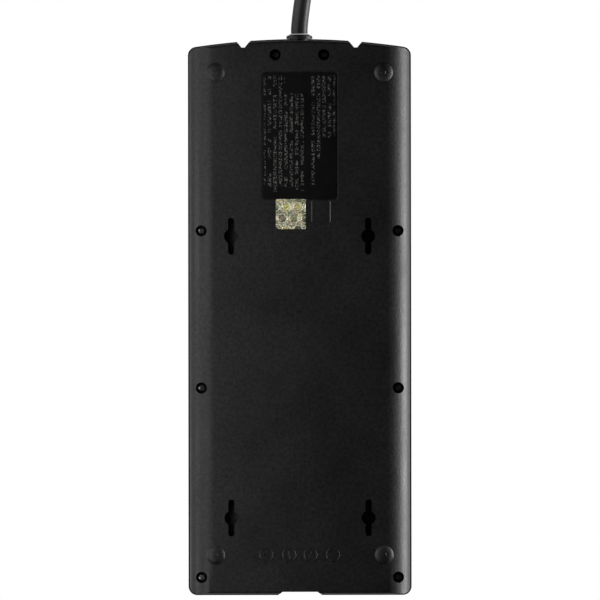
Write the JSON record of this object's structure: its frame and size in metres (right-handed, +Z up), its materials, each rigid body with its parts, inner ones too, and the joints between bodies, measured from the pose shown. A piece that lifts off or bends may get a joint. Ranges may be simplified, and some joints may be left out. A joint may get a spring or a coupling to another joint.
{
  "type": "surge protector strip",
  "caption": "Flat black surge protector strip lying on its back, with outlets, a rocker switch, a reset button, wall keyholes, moulded feet and a coiled power cord with plug.",
  "frame": {"origin": "on the surface it stands on, under the middle of the casing", "axes": "+Z up from the back towards the outlets, +Y along the casing towards the cord end"},
  "size_m": [0.1531, 0.5661, 0.0457],
  "materials": {
    "casing": "fine grained",
    "screw": "blackened",
    "label": "satin film",
    "foil": "iridescent foil",
    "cord": "matt",
    "tie": "woven strap",
    "contact": "stamped",
    "rocker": "satin",
    "tray": "moulded",
    "steel": "plated",
    "lens": "clear",
    "board": "laminate",
    "varistor": "dipped",
    "component": "moulded",
    "ferrite": "coated",
    "wire_line": "insulation",
    "wire_neutral": "insulation",
    "wire_ground": "insulation"
  },
  "bodies": {
    "casing": {"back_cover": "casing", "front_cover": "casing", "case_screw_1": "screw", "case_screw_2": "screw", "case_screw_3": "screw", "case_screw_4": "screw", "case_screw_5": "screw", "case_screw_6": "screw", "case_screw_7": "screw", "case_screw_8": "screw", "rating_label": "label", "foil_seal": "foil", "rocker_switch_housing": "rocker", "breaker_housing": "rocker", "reset_spring": "steel", "protected_light_pipe": "lens", "protected_lamp": "lens", "grounded_light_pipe": "lens", "grounded_lamp": "lens", "circuit_board": "board", "varistor_1": "varistor", "varistor_2": "varistor", "varistor_3": "varistor", "thermal_fuse": "steel", "filter_capacitor": "component", "filter_choke": "ferrite", "contact_tray_left": "tray", "line_bus_left": "contact", "neutral_bus_left": "contact", "ground_bus_left": "contact", "line_feed_wire_left": "wire_line", "neutral_feed_wire_left": "wire_neutral", "ground_feed_wire_left": "wire_ground", "contact_tray_right": "tray", "line_bus_right": "contact", "neutral_bus_right": "contact", "ground_bus_right": "contact", "line_feed_wire_right": "wire_line", "neutral_feed_wire_right": "wire_neutral", "ground_feed_wire_right": "wire_ground", "strain_relief": "cord", "cord_jacket_inside": "cord", "cord_line_wire": "wire_line", "cord_neutral_wire": "wire_neutral", "cord_ground_wire": "wire_ground", "cord_lead": "cord", "cord_coil": "cord", "cord_tail": "cord", "coil_tie": "tie", "plug_body": "cord", "plug_line_blade": "steel", "plug_neutral_blade": "steel", "plug_ground_pin": "steel"},
    "rocker": {"rocker_button": "rocker"},
    "reset": {"reset_button": "rocker"}
  },
  "joints": [
    {"name": "rocker_tilt", "type": "hinge", "parent": "casing", "child": "rocker", "pos_m": [-0.014, 0.118, 0.041], "axis": [-1, 0, 0], "range_deg": [0, 24]},
    {"name": "reset_press", "type": "slide", "parent": "casing", "child": "reset", "axis": [0, 0, -1], "range_m": [0, 0.002], "stiffness_N_per_m": 400, "springref_m": -0.003, "deforming": ["reset_spring"]}
  ]
}
